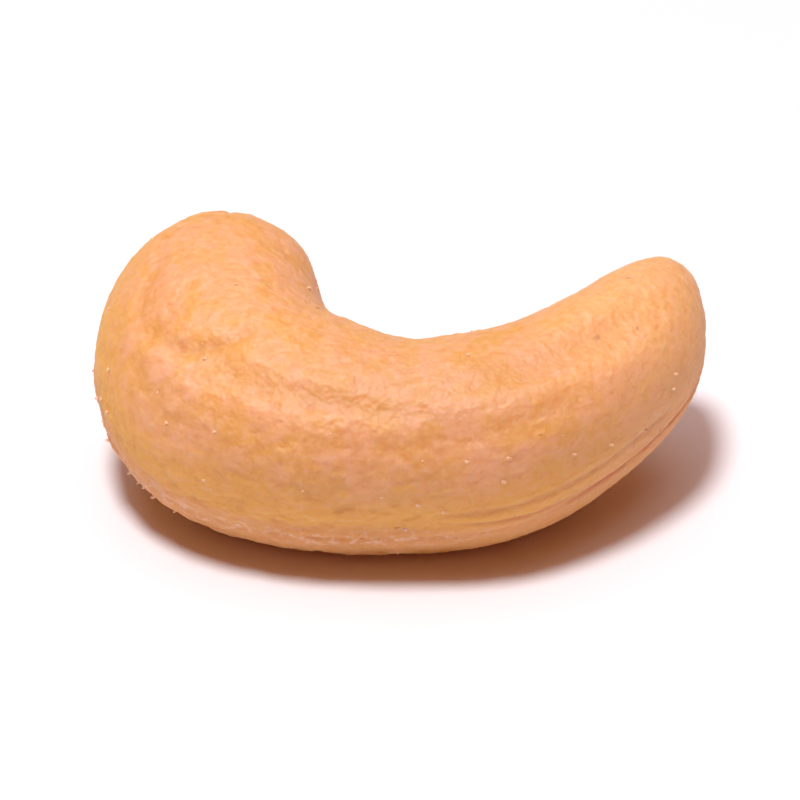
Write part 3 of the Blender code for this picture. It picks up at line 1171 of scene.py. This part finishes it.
def flake_points(maker, skin, size):
    """All places of flakes. The marked ones on the lobe are to stand up."""
    known, loose = sized_points(maker, skin, size, "flake", "flaked",
                                flake_density(maker, size))
    standing = named(maker, "share").math("LESS_THAN", STANDING_BEFORE)
    known = store(maker, known, "stand", STANDING_TILT * standing)
    return gather(maker, known, loose)


def pointed_chip(maker):
    """A thin chip one unit long, narrower towards both ends."""
    chip = maker.add("GeometryNodeMeshCube", None, {
        "Size": CHIP_PROPORTIONS, "Vertices X": 4, "Vertices Y": 3, "Vertices Z": 2})
    x, y, z = split(maker, position(maker))
    return put(maker, chip, join(maker, x, y * (1 - CHIP_TAPER * x * x), z))


def flake_turn(maker, seed):
    """Flat on the surface, then tipped and spun at random."""
    flat = maker.add("FunctionNodeAlignRotationToVector", {"axis": "Z"},
                     {"Vector": named(maker, "outward", "FLOAT_VECTOR")})
    tip = chance_vector(maker, (-LARGEST_TIP, -LARGEST_TIP, 0),
                        (LARGEST_TIP, LARGEST_TIP, math.tau), seed)
    tip = maker.vector("ADD", tip, join(maker, y=named(maker, "stand")))
    return maker.add("FunctionNodeRotateRotation", {"rotation_space": "LOCAL"},
                     {"Rotation": flat, "Rotate By": tip})


def flake_tree(material):
    """Thin chips along the seam."""
    maker, skin, size = start_tree("flakes", FLAKE_SIZES)
    scale = join(maker, *[named(maker, "flake") * MM] * 3)
    return set_on_points(maker, flake_points(maker, skin, size), pointed_chip(maker),
                         flake_turn(maker, size["Seed"] + 1), scale, CHIP_ROUGHNESS, material)


mark_places("flaked", FLAKE_PLACES)
flake_skin = bpy.data.materials.new("torn_skin")
flakes = grow("seam_flakes", kernel.data, flake_tree(flake_skin), FLAKE_SIZES)

# %% [markdown]
# ## The finish of the flakes
#
# Dry husk is dull and paler than the skin, with brown left where it tore. The flakes could share
# the skin's material, but would then be too glossy. So they are painted in spots as the salt is.

# %% Paint the flakes
FLAKE_PALE = (0.86, 0.64, 0.48, 1)
FLAKE_BROWN = (0.72, 0.44, 0.26, 1)
HUSK_SPOTS = (1.5 / MM, 0.36, 0.58, 3.0)
BROWN_AND_PALE_ROUGHNESS = (0.80, 0.65)
HUSK_BODY = {
    "Subsurface Weight": 0.3,
    "Subsurface Radius": (1.0, 0.6, 0.4),
    "Subsurface Scale": 0.0003,
}

paint_spotted(flake_skin, HUSK_SPOTS, (FLAKE_BROWN, FLAKE_PALE), BROWN_AND_PALE_ROUGHNESS,
              HUSK_BODY)

# %% [markdown]
# ## Floor and light
#
# The nut lies on a white table under studio lamps. A curved backdrop would do as well, but seen
# from above a plain wide sheet is enough. A fairly small lamp high up gives the short shadow with
# its soft edge, and a wide dim one fills it. Light that the nut throws back makes its shadow warm,
# and a dim orange surrounding adds to that. The floor is a little bluish to stay white in it, and
# the Standard view shows it burnt out, as in a bright product picture.

# %% Set the stage
FLOOR_HALF = 0.6
FLOOR_WHITE = (0.82, 0.85, 0.91, 1)
FLOOR_ROUGHNESS = 0.7
LAMPS = {
    # place, width, power, colour
    "key": ((-0.07, -0.10, 0.59), 0.12, 3.30, (1.0, 0.985, 0.98)),
    "soft_top": ((0.0, 0.06, 0.45), 0.50, 0.8, (1.0, 0.98, 0.97)),
}
SURROUNDING = ((1.0, 0.20, 0.055, 1), 0.24)
scene = bpy.context.scene
scene.view_settings.view_transform = "Standard"


def add_floor():
    mesh = bpy.data.meshes.new("floor")
    corners = [(x * FLOOR_HALF, y * FLOOR_HALF, 0) for x, y in ((-1, -1), (1, -1), (1, 1), (-1, 1))]
    mesh.from_pydata(corners, [], [(0, 1, 2, 3)])
    floor = bpy.data.objects.new("floor", mesh)
    scene.collection.objects.link(floor)
    material = bpy.data.materials.new("floor_white")
    finish_material(start_material(material),
                    {"Base Color": FLOOR_WHITE, "Roughness": FLOOR_ROUGHNESS})
    mesh.materials.append(material)


def add_lamp(name, place, width, power, color):
    light = bpy.data.lights.new(name, "AREA")
    light.shape = "DISK"
    light.size = width
    light.energy = power
    light.color = color
    lamp = bpy.data.objects.new(name, light)
    lamp.location = place
    lamp.rotation_euler = (-Vector(place)).to_track_quat("-Z", "Y").to_euler()
    scene.collection.objects.link(lamp)


def add_surrounding(color, strength):
    world = bpy.data.worlds.new("studio")
    world.use_nodes = True
    background = world.node_tree.nodes["Background"]
    background.inputs["Color"].default_value = color
    background.inputs["Strength"].default_value = strength
    scene.world = world


add_floor()
for lamp_name, numbers in LAMPS.items():
    add_lamp(lamp_name, *numbers)
add_surrounding(*SURROUNDING)
print("lamps:", ", ".join(LAMPS))

# %% [markdown]
# ## The camera
#
# The picture looks down on the nut from 40 degrees above the table. A short lens close by would
# swell the near end, so a long one is used from 30 cm away, as in studio work. Its length follows
# from how wide the picture is at the nut, so the framing can change and the camera stays put.

# %% Set up the camera
CAMERA_ELEVATION = math.radians(40)
CAMERA_DISTANCE = 0.30
VIEW_WIDTH = 0.0365
CAMERA_TARGET = Vector((0.0, 0.0, 0.0052))
SENSOR_WIDTH_MM = 36


def add_camera():
    data = bpy.data.cameras.new("camera")
    data.sensor_width = SENSOR_WIDTH_MM
    data.lens = SENSOR_WIDTH_MM * CAMERA_DISTANCE / VIEW_WIDTH
    camera = bpy.data.objects.new("camera", data)
    back = Vector((0, -math.cos(CAMERA_ELEVATION), math.sin(CAMERA_ELEVATION)))
    camera.location = CAMERA_TARGET + back * CAMERA_DISTANCE
    camera.rotation_euler = (-back).to_track_quat("-Z", "Y").to_euler()
    scene.collection.objects.link(camera)
    scene.camera = camera
    print("lens in mm:", round(data.lens))


add_camera()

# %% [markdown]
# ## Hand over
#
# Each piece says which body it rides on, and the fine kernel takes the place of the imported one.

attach(kernel, "root")
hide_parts(KERNEL_NODE)
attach(salt, "root")
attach(flakes, "root")
